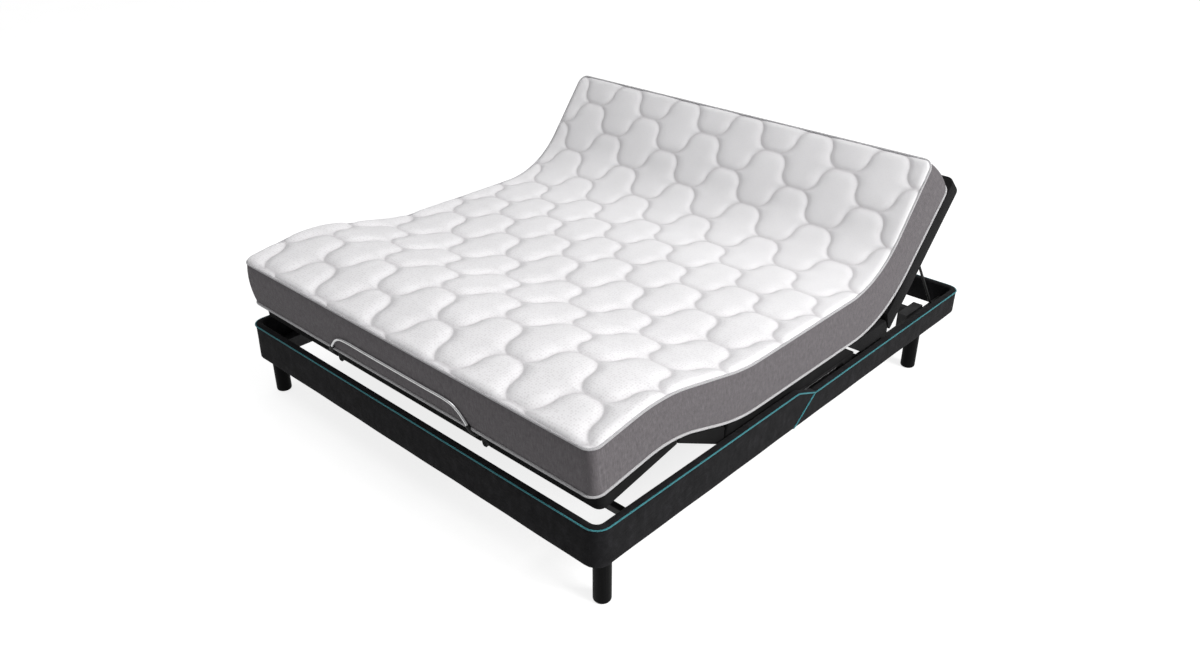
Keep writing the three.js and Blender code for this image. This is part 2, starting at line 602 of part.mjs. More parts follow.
// ---------------------------------------------------------------- mattress retainer
const clampMidY = CLAMP_Y - CLAMP_T / 2;
function retainerPath() {
  const half = [
    [BAR_FOOT_X, clampMidY, CLAMP_TOP_Z + 1.6], [BAR_FOOT_X, clampMidY - 1.5, CLAMP_TOP_Z + 6],
    [BAR_FOOT_X - 1, clampMidY - 9, 293.6], [BAR_FOOT_X - 2, clampMidY - 24, 295],
    [BAR_FOOT_X - 6, BAR_OUT_Y + 3, 300], [BAR_FOOT_X - 13, BAR_OUT_Y, 309],
    [BAR_FOOT_X - 30, BAR_OUT_Y, 331], [BAR_BEND_X + 56, BAR_OUT_Y, BAR_TOP_Z - 20],
    [BAR_BEND_X + 30, BAR_OUT_Y, BAR_TOP_Z - 5], [BAR_BEND_X, BAR_OUT_Y, BAR_TOP_Z]];
  const mirrored = half.map(([x, y, z]) => [-x, y, z]).reverse();
  const points = [...half, [BAR_BEND_X / 2, BAR_OUT_Y, BAR_TOP_Z], [-BAR_BEND_X / 2, BAR_OUT_Y, BAR_TOP_Z],
    ...mirrored];
  return new THREE.CatmullRomCurve3(points.map((p) => new THREE.Vector3(...p)), false, 'centripetal');
}
const barSection = new THREE.Shape();
barSection.absarc(0, 0, BAR_R, 0, Math.PI * 2, false);
const barOptions = { steps: 96, curveSegments: 5, bevelEnabled: false, extrudePath: retainerPath() };
mesh('retainer_bar', new THREE.ExtrudeGeometry(barSection, barOptions), brightSteel, foot);

function clamp(name, x) {
  const half = [[5, CLAMP_BOTTOM_Z], [9, CLAMP_BOTTOM_Z + 4], [CLAMP_HALF_W, CLAMP_TOP_Z]];
  const mirrored = half.map(([u, z]) => [-u, z]).reverse();
  const shape = polygon([...mirrored, ...half].map(([u, z]) => [x + u, z]));
  const geometry = new THREE.ExtrudeGeometry(shape, { depth: CLAMP_T, bevelEnabled: false });
  geometry.rotateX(Math.PI / 2);
  geometry.translate(0, CLAMP_Y, 0);
  mesh(name, geometry, plastic, foot);
}
clamp('retainer_clamp_left', -BAR_FOOT_X);
clamp('retainer_clamp_right', BAR_FOOT_X);

// ---------------------------------------------------------------- elastic stays
const staySection = new THREE.Shape();
staySection.absarc(0, 0, STAY_R, 0, Math.PI * 2, false);
for (const [side, s] of [['left', -1], ['right', 1]]) {
  const line = new THREE.LineCurve3(
    new THREE.Vector3(s * STAY_X, ...STAY_LOW), new THREE.Vector3(s * STAY_X, ...STAY_HIGH));
  const options = { steps: 6, curveSegments: 5, bevelEnabled: false, extrudePath: line };
  mesh(`stay_${side}`, new THREE.ExtrudeGeometry(staySection, options), strapRubber, bed);
}

export default bed;
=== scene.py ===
"""Looks of the adjustable bed base: upholstered rails, decks and mattress, steel and plastic parts."""
import math

import bmesh
import bpy
import numpy as np
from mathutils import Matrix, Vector, kdtree


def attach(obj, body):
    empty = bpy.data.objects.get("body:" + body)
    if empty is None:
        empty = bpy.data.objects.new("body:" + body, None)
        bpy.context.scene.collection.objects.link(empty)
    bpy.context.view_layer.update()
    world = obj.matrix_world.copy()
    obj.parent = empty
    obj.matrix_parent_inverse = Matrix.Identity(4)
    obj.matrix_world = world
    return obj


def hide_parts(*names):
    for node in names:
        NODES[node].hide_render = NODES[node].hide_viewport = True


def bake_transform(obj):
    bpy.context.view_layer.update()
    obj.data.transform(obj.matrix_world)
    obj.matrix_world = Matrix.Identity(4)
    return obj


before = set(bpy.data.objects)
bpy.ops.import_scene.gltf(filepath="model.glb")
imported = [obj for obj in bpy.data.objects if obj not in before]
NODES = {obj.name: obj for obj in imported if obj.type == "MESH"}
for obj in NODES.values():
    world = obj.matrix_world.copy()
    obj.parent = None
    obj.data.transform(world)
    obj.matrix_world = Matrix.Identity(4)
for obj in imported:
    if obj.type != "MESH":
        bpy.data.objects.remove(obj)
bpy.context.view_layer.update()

# ------------------------------------------------------------------ driving sizes, in metres
FRAME_HALF_W = 0.8225
FRAME_HALF_L = 1.0
RAIL_T = 0.024
RAIL_BOTTOM = 0.153
RAIL_TOP_FOOT = 0.283
RAIL_TOP_HEAD = 0.243
RAIL_CORNER_R = 0.045
HEAD_PADDING = 0.006
RAIL_ROUND = 0.009
RAIL_LOW_ROUND = 0.004
RAIL_END_TRIM = 0.0005
RAIL_END_STEP = 0.0012
SEAM_LOW_Y = -0.104
SEAM_HIGH_Y = 0.004
SEAM_SHOULDER_Y = -0.096
SEAM_GAP = 0.0012
PIPING_R = 0.0024
PIPING_DROP = 0.0055
DECK_EDGE_R = 0.0055

THIGH_PIVOT = (-0.430, 0.268)
KNEE_PIVOT = (-0.666, 0.275)
THIGH_ANGLE = math.radians(21.1)
KNEE_ANGLE = math.radians(26.6)

DECK_END_PADDING = 0.002
DECK_END_ZONE = 0.0065
DECK_CORNER_ZONE = 0.034
DECK_CORNER_X = 0.5

MAT_HALF_W = 0.802
MAT_CORNER_R = 0.034
BORDER_CORNER_R = 0.016
MAT_SKIRT = 0.0085
CROWN = 0.006
EDGE_ROUNDING = 0.024
TOP_SINK = 0.0035
GROOVE_WIDTH = 0.006
BORDER_HEIGHT = 0.16
TUFT_PITCH = 0.147
TUFT_ROW = 0.1075
TUFT_ROW_LEGS = 0.135
TUFT_START = 0.1075
LEG_ROW = 8
SEAM_FLAT = 0.12
SEAM_REACH = 0.020
TUFT_DEPTH_BACK = 0.0042
TUFT_DEPTH_LEGS = 0.0100
TUFT_SPAN = 0.024
SEAM_DEPTH = 0.0028
UPPER_PIPING_R = 0.0040
LOWER_PIPING_R = 0.0043
WIRE_R = 0.0050
SLEEVE_R = 0.0062
SLEEVE_TOP = 0.324
STAY_R = 0.0048
STAY_X = 0.765


# ------------------------------------------------------------------ node materials
class Look:
    """A material under construction: nodes are added with their inputs given by name."""

    def __init__(self, name):
        self.mat = bpy.data.materials.new(name)
        self.mat.use_nodes = True
        self.tree = self.mat.node_tree
        self.shader = self.tree.nodes["Principled BSDF"]
        self.coords = self.tree.nodes.new("ShaderNodeTexCoord")

    def put(self, node, values):
        for key, value in values.items():
            socket = node.inputs[key]
            if isinstance(value, bpy.types.NodeSocket):
                self.tree.links.new(value, socket)
            else:
                socket.default_value = value
        return node

    def add(self, kind, values=None, **settings):
        node = self.tree.nodes.new(kind)
        for key, value in settings.items():
            setattr(node, key, value)
        return self.put(node, values or {})

    def place(self, scale, source="Object", turn=(0, 0, 0)):
        return self.add("ShaderNodeMapping", {"Vector": self.coords.outputs[source], "Scale": scale,
                                              "Rotation": turn}).outputs["Vector"]

    def noise(self, vector, scale, detail=4.0, rough=0.55, distortion=0.0):
        return self.add("ShaderNodeTexNoise", {"Vector": vector, "Scale": scale, "Detail": detail,
                                               "Roughness": rough, "Distortion": distortion}).outputs["Fac"]

    def ramp(self, fac, *stops):
        node = self.add("ShaderNodeValToRGB", {"Fac": fac})
        bands = node.color_ramp.elements
        while len(bands) < len(stops):
            bands.new(0.5)
        for band, (place, value) in zip(bands, stops):
            band.position = place
            band.color = (value, value, value, 1) if isinstance(value, float) else (*value, 1)
        return node.outputs["Color"]

    def math(self, kind, a, b=0.5):
        return self.add("ShaderNodeMath", {0: a, 1: b}, operation=kind).outputs["Value"]

    def mix(self, fac, a, b, blend="MIX"):
        node = self.add("ShaderNodeMix", data_type="RGBA", blend_type=blend)
        ins = [s for s in node.inputs if s.enabled]
        for socket, value in zip(ins, (fac, a, b)):
            if isinstance(value, bpy.types.NodeSocket):
                self.tree.links.new(value, socket)
            elif isinstance(value, float):
                socket.default_value = value
            else:
                socket.default_value = (*value, 1)
        return next(s for s in node.outputs if s.enabled)

    def bump(self, height, strength, distance, below=None):
        values = {"Height": height, "Strength": strength, "Distance": distance}
        if below is not None:
            values["Normal"] = below
        return self.add("ShaderNodeBump", values).outputs["Normal"]

    def finish(self, **values):
        names = {"color": "Base Color", "rough": "Roughness", "metal": "Metallic", "normal": "Normal",
                 "sheen": "Sheen Weight", "sheen_rough": "Sheen Roughness", "coat": "Coat Weight",
                 "coat_rough": "Coat Roughness", "specular": "Specular IOR Level"}
        fixed = {}
        for key, value in values.items():
            is_rgb = key == "color" and not isinstance(value, bpy.types.NodeSocket)
            fixed[names[key]] = (*value, 1) if is_rgb else value
        self.put(self.shader, fixed)
        return self.mat


def velvet_look():
    look = Look("charcoal_velvet")
    flat = look.place((1, 1, 1))
    pile = look.noise(flat, 900.0, 3.0)
    brushed = look.noise(look.place((5, 5, 3)), 7.0, 5.0, 0.62, 0.4)
    creases = look.noise(look.place((10, 10, 26)), 2.4, 6.0, 0.6, 0.8)
    color = look.ramp(brushed, (0.30, (0.0030, 0.0030, 0.0034)), (0.52, (0.0058, 0.0057, 0.0064)),
                      (0.74, (0.0125, 0.0122, 0.0142)))
    flecked = look.mix(look.ramp(pile, (0.42, 0.0), (0.66, 1.0)), color, (0.018, 0.0175, 0.020))
    mixed = look.mix(0.38, color, flecked)
    normal = look.bump(pile, 0.35, 0.0009, look.bump(creases, 0.30, 0.006))
    return look.finish(color=mixed, rough=look.ramp(brushed, (0.3, 0.95), (0.8, 0.78)), sheen=0.035,
                       sheen_rough=0.5, specular=0.10, normal=normal)


def deck_look():
    look = Look("black_deck_cloth")
    flat = look.place((1, 1, 1))
    threads_x = look.add("ShaderNodeTexWave", {"Vector": flat, "Scale": 420.0, "Distortion": 0.6,
                                               "Detail": 1.0}, bands_direction="X").outputs["Fac"]
    threads_z = look.add("ShaderNodeTexWave", {"Vector": look.place((1, 1, 1), turn=(0.78, 0, 0)),
                                               "Scale": 420.0, "Distortion": 0.6, "Detail": 1.0},
                         bands_direction="Z").outputs["Fac"]
    weave = look.math("MULTIPLY", threads_x, threads_z)
    worn = look.noise(flat, 9.0, 6.0, 0.6)
    color = look.ramp(worn, (0.3, (0.0040, 0.0040, 0.0043)), (0.55, (0.0068, 0.0067, 0.0072)),
                      (0.8, (0.0120, 0.0118, 0.0128)))
    threads = look.ramp(weave, (0.1, (0.003, 0.003, 0.003)), (0.7, (0.016, 0.016, 0.017)))
    color = look.mix(0.25, color, threads)
    normal = look.bump(weave, 0.5, 0.0006, look.bump(worn, 0.2, 0.004))
    return look.finish(color=color, rough=look.ramp(worn, (0.3, 0.9), (0.8, 0.72)), sheen=0.03,
                       specular=0.10, normal=normal)


def base_cloth_look():
    look = Look("mattress_underside")
    flat = look.place((1, 1, 1))
    dots = look.add("ShaderNodeTexVoronoi", {"Vector": flat, "Scale": 150.0, "Randomness": 0.15})
    pips = look.ramp(dots.outputs["Distance"], (0.18, 1.0), (0.34, 0.0))
    felt = look.noise(flat, 260.0, 4.0)
    color = look.mix(pips, look.ramp(felt, (0.3, (0.013, 0.013, 0.014)), (0.7, (0.030, 0.030, 0.032))),
                     (0.010, 0.010, 0.011))
    return look.finish(color=color, rough=look.ramp(felt, (0.3, 0.92), (0.7, 0.8)), specular=0.25,
                       normal=look.bump(look.mix(0.5, pips, felt), 0.5, 0.0012))


def ticking_look():
    """White knit: small dimples in staggered rows, fine ribs, and a soft shadow painted into the colour
    along the sewn channels.
    """
    look = Look("white_knit")
    ticking = look.coords.outputs["UV"]
    dimple = look.add("ShaderNodeTexVoronoi", {"Vector": ticking, "Scale": 118.0, "Randomness": 0.42})
    holes = look.ramp(dimple.outputs["Distance"], (0.12, 1.0), (0.46, 0.0))
    ribs = look.add("ShaderNodeTexWave", {"Vector": ticking, "Scale": 150.0, "Distortion": 1.2,
                                          "Detail": 1.0, "Detail Scale": 40.0},
                    bands_direction="X").outputs["Fac"]
    cloudy = look.noise(ticking, 5.0, 4.0)
    seam = look.add("ShaderNodeAttribute", attribute_name="seam").outputs["Fac"]
    near_seam = look.math("DIVIDE", look.math("ABSOLUTE", seam, 0.0), SEAM_REACH)
    knit = look.mix(look.ramp(cloudy, (0.3, 0.0), (0.7, 1.0)), (0.645, 0.640, 0.652), (0.692, 0.687, 0.700))
    from_head = look.add("ShaderNodeSeparateXYZ", {"Vector": ticking}).outputs["Y"]
    worked = look.add("ShaderNodeMapRange", {"Value": from_head, "From Min": 0.55, "From Max": 1.25,
                                             "To Min": 0.10, "To Max": 0.62}).outputs["Result"]
    holes = look.math("MULTIPLY", holes, worked)
    dotted = look.mix(holes, knit, (0.50, 0.48, 0.495))
    ribbed = look.mix(look.math("MULTIPLY", ribs, 0.05), dotted, (0.62, 0.60, 0.62))
    # Painted shade: the colour darkens in a soft band along each sewn seam, standing for the shade in the
    # quilting grooves; the stitch noise breaks the band into faint dashes
    channel = look.ramp(near_seam, (0.0, 1.0), (0.14, 0.62), (0.40, 0.24), (0.85, 0.0))
    stitch = look.noise(look.add("ShaderNodeMapping", {"Vector": ticking, "Scale": (330, 330, 330)})
                        .outputs["Vector"], 1.0, 1.0)
    stitches_and_painted_shade = look.math("MULTIPLY", channel, look.ramp(stitch, (0.40, 0.62), (0.62, 1.0)))
    # the painted seam shade is mixed into the knit colour here, toward a darker grey
    color = look.mix(stitches_and_painted_shade, ribbed, (0.50, 0.485, 0.50))
    height = look.math("SUBTRACT", look.math("MULTIPLY", ribs, 0.3), holes)
    normal = look.bump(height, 0.42, 0.0011, look.bump(look.math("MULTIPLY", stitches_and_painted_shade, -1.0), 0.6, 0.0016))
    return look.finish(color=color, rough=look.ramp(ribs, (0.0, 0.95), (1.0, 0.82)), sheen=0.10,
                       specular=0.2, normal=normal)


def border_look():
    """Warm heathered grey knit with fine vertical ribs."""
    look = Look("heather_border")
    ticking = look.coords.outputs["UV"]
    warp = look.add("ShaderNodeMapping", {"Vector": ticking, "Scale": (1.0, 0.10, 1.0)}).outputs["Vector"]
    streaks = look.noise(warp, 330.0, 3.0, 0.6)
    ribs = look.add("ShaderNodeTexWave", {"Vector": ticking, "Scale": 78.0, "Distortion": 1.4, "Detail": 2.0,
                                          "Detail Scale": 30.0}, bands_direction="X").outputs["Fac"]
    mottled = look.noise(ticking, 75.0, 5.0, 0.65)
    stitch = look.noise(ticking, 620.0, 2.0)
    color = look.ramp(streaks, (0.30, (0.078, 0.070, 0.076)), (0.5, (0.110, 0.100, 0.107)),
                      (0.70, (0.155, 0.143, 0.152)))
    patches = look.ramp(mottled, (0.32, (0.066, 0.060, 0.065)), (0.68, (0.172, 0.159, 0.168)))
    color = look.mix(0.30, color, patches)
    color = look.mix(look.math("MULTIPLY", ribs, 0.20), color, (0.085, 0.078, 0.083))
    height = look.math("ADD", look.math("MULTIPLY", ribs, -1.0), look.math("MULTIPLY", stitch, 0.8))
    return look.finish(color=color, rough=look.ramp(mottled, (0.3, 0.95), (0.7, 0.82)), sheen=0.12,
                       specular=0.2, normal=look.bump(height, 0.5, 0.0010))


def cord_cloth_look(name, dark, light, pitch, rough=0.7, sheen=0.1):
    """Piping: a bias-cut cover with a slanted weave."""
    look = Look(name)
    slanted = look.place((1, 1, 1), turn=(0.7, 0.5, 0.6))
    twill = look.add("ShaderNodeTexWave", {"Vector": slanted, "Scale": pitch, "Distortion": 1.0,
                                           "Detail": 2.0}, bands_direction="DIAGONAL").outputs["Fac"]
    worn = look.noise(look.place((1, 1, 1)), 45.0, 5.0)
    color = look.mix(look.ramp(twill, (0.2, 0.0), (0.8, 1.0)), dark, light)
    color = look.mix(look.math("MULTIPLY", worn, 0.35), color, dark)
    return look.finish(color=color, rough=look.ramp(worn, (0.3, rough), (0.7, rough * 0.8)), sheen=sheen,
                       specular=0.3, normal=look.bump(twill, 0.5, 0.0007))


def steel_look(name, base, edge, rough, metal):
    """Powder-coated or plated steel with orange peel, fine scratches and rubbed edges."""
    look = Look(name)
    flat = look.place((1, 1, 1))
    peel = look.noise(flat, 620.0, 2.0)
    smudge = look.noise(flat, 14.0, 6.0, 0.65)
    scratch = look.noise(look.place((1, 14, 1)), 120.0, 3.0, 0.7)
    rubbed = look.add("ShaderNodeNewGeometry").outputs["Pointiness"]
    wear = look.math("MULTIPLY", look.ramp(rubbed, (0.52, 0.0), (0.60, 1.0)),
                     look.ramp(smudge, (0.42, 0.0), (0.7, 0.8)))
    shade = look.mix(look.ramp(smudge, (0.3, 0.0), (0.75, 0.6)), base, tuple(1.5 * c for c in base))
    color = look.mix(wear, shade, edge)
    gloss = look.add("ShaderNodeMapRange", {"Value": smudge, "To Min": rough * 0.8, "To Max": rough * 1.3})
    normal = look.bump(peel, 0.18, 0.0004, look.bump(scratch, 0.05, 0.0006))
    return look.finish(color=color, metal=metal, rough=gloss.outputs["Result"], normal=normal)


def plastic_look(name, base, rough):
    look = Look(name)
    flat = look.place((1, 1, 1))
    grain = look.add("ShaderNodeTexVoronoi", {"Vector": flat, "Scale": 900.0}).outputs["Distance"]
    dust = look.noise(flat, 22.0, 6.0, 0.6)
    color = look.mix(look.ramp(dust, (0.4, 0.0), (0.8, 0.5)), base, tuple(2.2 * c + 0.004 for c in base))
    gloss = look.add("ShaderNodeMapRange", {"Value": dust, "To Min": rough * 0.85, "To Max": rough * 1.2})
    return look.finish(color=color, rough=gloss.outputs["Result"], specular=0.4,
                       normal=look.bump(grain, 0.25, 0.0004))


def lacquer_look():
    """Satin black turned wood: faint grain under lacquer, with hazy gloss."""
    look = Look("black_lacquered_wood")
    grain = look.noise(look.place((60, 60, 4)), 3.0, 6.0, 0.6, 0.3)
    haze = look.noise(look.place((1, 1, 1)), 30.0, 5.0)
    color = look.ramp(grain, (0.3, (0.0016, 0.0016, 0.0018)), (0.7, (0.0040, 0.0039, 0.0042)))
    gloss = look.add("ShaderNodeMapRange", {"Value": haze, "To Min": 0.36, "To Max": 0.52})
    return look.finish(color=color, rough=gloss.outputs["Result"], coat=0.0, coat_rough=0.4, specular=0.07,
                       normal=look.bump(grain, 0.12, 0.0008))


VELVET = velvet_look()
DECK_CLOTH = deck_look()
UNDERSIDE = base_cloth_look()
TICKING = ticking_look()
BORDER = border_look()
TEAL = cord_cloth_look("teal_piping", (0.012, 0.105, 0.125), (0.050, 0.275, 0.310), 520.0)
SILVER_CORD = cord_cloth_look("silver_grey_piping", (0.32, 0.315, 0.325), (0.60, 0.595, 0.61), 620.0)
# Painted shade: a darker copy of the same piping cloth for the upper piping, standing for the shade on its
# far edges; the lower piping keeps the lighter copy
PIPING_CORD_PAINTED_SHADE = cord_cloth_look("grey_piping_painted_shade", (0.28, 0.275, 0.285), (0.54, 0.535, 0.55), 620.0)
BLACK_STEEL = steel_look("black_coated_steel", (0.010, 0.010, 0.0105), (0.060, 0.060, 0.062), 0.48, 0.35)
BRIGHT_STEEL = steel_look("plated_wire", (0.72, 0.72, 0.73), (0.85, 0.85, 0.86), 0.22, 1.0)
PLASTIC = plastic_look("black_moulded_plastic", (0.008, 0.008, 0.0085), 0.5)
RUBBER = plastic_look("black_rubber", (0.007, 0.007, 0.007), 0.72)
LACQUER = lacquer_look()


# ------------------------------------------------------------------ mesh helpers
def piece(name, verts, faces, *materials, smooth=True):
    data = bpy.data.meshes.new(name)
    data.from_pydata([tuple(v) for v in verts], [], faces)
    for material in materials:
        data.materials.append(material)
    data.polygons.foreach_set("use_smooth", [smooth] * len(data.polygons))
    data.update()
    obj = bpy.data.objects.new(name, data)
    bpy.context.scene.collection.objects.link(obj)
    return obj


def strip_faces(rows, cols, closed_across=False, closed_along=False, start=0):
    """Quads of a grid of rows x cols points that is numbered row by row."""
    faces = []
    for i in range(rows if closed_along else rows - 1):
        a, b = start + i * cols, start + (i + 1) % rows * cols
        for j in range(cols if closed_across else cols - 1):
            k = (j + 1) % cols
            faces.append((a + j, a + k, b + k, b + j))
    return faces


def unit_rows(vectors):
    return vectors / np.linalg.norm(vectors, axis=1)[:, None]


def section_frames(path):
    """Tangents and two cross directions at each point of a path, carried along without twisting."""
    tangents = unit_rows(np.gradient(path, axis=0))
    side = np.cross(tangents[0], (0, 0, 1.0))
    if np.linalg.norm(side) < 0.1:
        side = np.cross(tangents[0], (0, 1.0, 0))
    frames = []
    for t in tangents:
        side = side - t * (side @ t)
        side = side / np.linalg.norm(side)
        frames.append((side, np.cross(side, t)))
    return frames


def tube_parts(path, radius, sides=10, cone=0.0):
    """Vertices and faces of a capped tube along a path; cone is how far the ends are rounded off."""
    path = np.asarray(path, float)
    verts, count = [], len(path)
    for i, (point, (a, b)) in enumerate(zip(path, section_frames(path))):
        shrink = 0.75 if cone and i in (0, count - 1) else 1.0
        for k in range(sides):
            turn = 2 * math.pi * k / sides
            verts.append(point + radius * shrink * (math.cos(turn) * a + math.sin(turn) * b))
    faces = strip_faces(count, sides, closed_across=True)
    faces.append(tuple(range(sides)))
    faces.append(tuple(reversed(range((count - 1) * sides, count * sides))))
    return verts, faces


def tubes(name, paths, radius, material, sides=10):
    verts, faces = [], []
    for path in paths:
        more, quads = tube_parts(path, radius, sides)
        faces += [tuple(len(verts) + i for i in quad) for quad in quads]
        verts += more
    return outward(piece(name, verts, faces, material))


def outward(obj):
    mesh = bmesh.new()
    mesh.from_mesh(obj.data)
    bmesh.ops.recalc_face_normals(mesh, faces=mesh.faces)
    mesh.to_mesh(obj.data)
    mesh.free()
    return obj


def resample(points, step):
    points = np.asarray(points, float)
    gaps = np.linalg.norm(np.diff(points, axis=0), axis=1)
    along = np.concatenate([[0], np.cumsum(gaps)])
    count = max(2, int(round(along[-1] / step)) + 1)
    at = np.linspace(0, along[-1], count)
    return np.stack([np.interp(at, along, points[:, k]) for k in range(points.shape[1])], 1)


def arc(centre, radius, start, end, count):
    """Points of a plan arc, angles in degrees."""
    return [(centre[0] + radius * math.cos(math.radians(a)), centre[1] + radius * math.sin(math.radians(a)))
            for a in np.linspace(start, end, count)]


def turn_points(points, pivot, angle):
    """Turns (x, y, z) points about an X axis through pivot (y, z); a positive angle lifts the head side."""
    points = np.array(points, float)
    y, z = points[:, 1] - pivot[0], points[:, 2] - pivot[1]
    c, s = math.cos(angle), math.sin(angle)
    points[:, 1] = pivot[0] + c * y - s * z
    points[:, 2] = pivot[1] + s * y + c * z
    return points


def foot_to_rest(points):
    """From flat coordinates of the foot section to the rest pose."""
    points = turn_points(points, KNEE_PIVOT, KNEE_ANGLE)
    return turn_points(points, THIGH_PIVOT, -THIGH_ANGLE)


def soften(node, material, width, segments=3):
    """Keeps a CAD node, with rounded edges and a material."""
    obj = NODES[node]
    obj.data.materials.clear()
    obj.data.materials.append(material)
    if width:
        mod = obj.modifiers.new("rounded_edges", "BEVEL")
        mod.width = width
        mod.segments = segments
        mod.limit_method = "ANGLE"
        mod.angle_limit = math.radians(35)
        mod.harden_normals = True
        mod.use_clamp_overlap = True
    return obj


# ------------------------------------------------------------------ upholstered rails
def plan_path(s, y_from):
    """Centreline of half the outer frame in plan, from side to side round an end; s is -1 at the foot."""
    half_w = FRAME_HALF_W - RAIL_T / 2
    end = FRAME_HALF_L - RAIL_T / 2 + (HEAD_PADDING if s > 0 else 0.0)
    r = RAIL_CORNER_R - RAIL_T / 2
    sweep = 90 * s
    corner_left = arc((-half_w + r, s * (end - r)), r, 180, 180 - sweep, 10)
    corner_right = arc((half_w - r, s * (end - r)), r, sweep, 0, 10)
    return [(-half_w, y_from), *corner_left, *corner_right, (half_w, y_from)]


def rail_limits(y, s):
    """Lower and upper height of the foot (s = -1) or head rail where it passes a given Y."""
    slope = (RAIL_TOP_HEAD - RAIL_BOTTOM) / (SEAM_HIGH_Y - SEAM_LOW_Y)
    seam = RAIL_BOTTOM + (y - SEAM_LOW_Y - s * SEAM_GAP / 2) * slope
    if s > 0:
        return RAIL_BOTTOM, min(RAIL_TOP_HEAD, seam)
    fall = (RAIL_TOP_FOOT - RAIL_TOP_HEAD) / (SEAM_HIGH_Y - SEAM_SHOULDER_Y)
    shoulder = RAIL_TOP_FOOT - max(0.0, y - SEAM_SHOULDER_Y) * fall
    return max(RAIL_BOTTOM, seam), shoulder


def rail_section(low, high):
    """Rounded section of the padded rail as (outward, height) points, full at the top edge."""
    half = RAIL_T / 2
    top_r = min(RAIL_ROUND, (high - low) / 2.05)
    low_r = min(RAIL_LOW_ROUND, (high - low) / 2.05)
    points = []
    corners = ((half - top_r, high - top_r, top_r, 0), (-half + top_r, high - top_r, top_r, 90),
               (-half + low_r, low + low_r, low_r, 180), (half - low_r, low + low_r, low_r, 270))
    for cx, cz, r, start in corners:
        for k in range(6):
            turn = math.radians(start + 18 * k)
            points.append((cx + r * math.cos(turn), cz + r * math.sin(turn)))
    inner_rows = 7
    outline = []
    for index, point in enumerate(points):
        outline.append(point)
        if index in (11, 23):
            a, b = point, points[(index + 1) % 24]
            outline += [(a[0] + (b[0] - a[0]) * k / inner_rows, a[1] + (b[1] - a[1]) * k / inner_rows)
                        for k in range(1, inner_rows)]
    return outline


def cloth_ripple(x, y, z):
    """Slight unevenness of stretched upholstery."""
    return 0.0006 * (math.sin(9.0 * x + 6.3 * y + 2.0) * math.sin(31.0 * z + 4.0 * y)
                     + 0.6 * math.sin(27.0 * (x + y) + 40.0 * z))


def upholstered_rail(name, s):
    limit = (SEAM_HIGH_Y if s < 0 else SEAM_LOW_Y) + s * RAIL_END_TRIM
    path = resample(plan_path(s, limit + s * RAIL_END_STEP), 0.0125)
    tangents = unit_rows(np.gradient(path, axis=0))
    verts, cols = [], 0
    for (x, y), (tx, ty) in zip(path, tangents):
        nx, ny = -s * ty, s * tx
        low, high = rail_limits(y, s)
        outline = rail_section(low, high)
        cols = len(outline)
        for out, z in outline:
            px, py = x + nx * out, y + ny * out
            swell = cloth_ripple(px, py, z) if out > 0 else 0.0
            verts.append((px + nx * swell, py + ny * swell, z))
    faces = strip_faces(len(path), cols, closed_across=True)
    faces += [tuple(range(cols)), tuple(reversed(range((len(path) - 1) * cols, len(path) * cols)))]
    return outward(piece(name, verts, faces, VELVET))


def build_rails():
    foot = upholstered_rail("foot_half_upholstery", -1)
    head = upholstered_rail("head_half_upholstery", 1)
    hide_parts("rail_foot", "rail_side_foot_left", "rail_side_foot_right")
    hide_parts("rail_head", "rail_side_head_left", "rail_side_head_right")
    pipings = []
    for name, s, start in (("piping_foot_half", -1, SEAM_HIGH_Y), ("piping_head_half", 1, SEAM_HIGH_Y)):
        path = resample(plan_path(s, start), 0.008)
        tangents = unit_rows(np.gradient(path, axis=0))
        out = RAIL_T / 2 + 0.0005
        line = []
        for (x, y), (tx, ty) in zip(path, tangents):
            high = rail_limits(min(y, SEAM_HIGH_Y), -1)[1] if s < 0 else RAIL_TOP_HEAD
            line.append((x - s * ty * out, y + s * tx * out, high - PIPING_DROP))
        pipings.append(tubes(name, [line], PIPING_R, TEAL))
    seams = []
    for side in (-1, 1):
        x = side * (FRAME_HALF_W + 0.0004)
        seams.append(resample([(x, SEAM_HIGH_Y - 0.004, RAIL_TOP_HEAD - PIPING_DROP - 0.001),
                               (x, SEAM_LOW_Y, RAIL_BOTTOM + 0.003),
                               (x - side * 0.006, SEAM_LOW_Y, RAIL_BOTTOM - 0.001)], 0.006))
    pipings.append(tubes("piping_seams", seams, PIPING_R, TEAL))
    for obj in (foot, head, *pipings):
        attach(obj, "frame")


# ------------------------------------------------------------------ deck panels
def fill_out_end(mesh, placed):
    """Padding over the foot end of the deck: its end moves outward along the panel."""
    outward_way = Vector((0, -math.cos(KNEE_ANGLE - THIGH_ANGLE), -math.sin(KNEE_ANGLE - THIGH_ANGLE)))
    reach = [(placed @ v.co).dot(outward_way) for v in mesh.verts]
    back_to_local = placed.inverted()
    end = max(reach)
    for v, r in zip(mesh.verts, reach):
        world = placed @ v.co
        if abs(world.x) > DECK_CORNER_X:
            share = max(0.0, 1 - (end - r) / DECK_CORNER_ZONE)
        else:
            share = 1.0 if r > end - DECK_END_ZONE else 0.0
        v.co = back_to_local @ (world + outward_way * (DECK_END_PADDING * share))


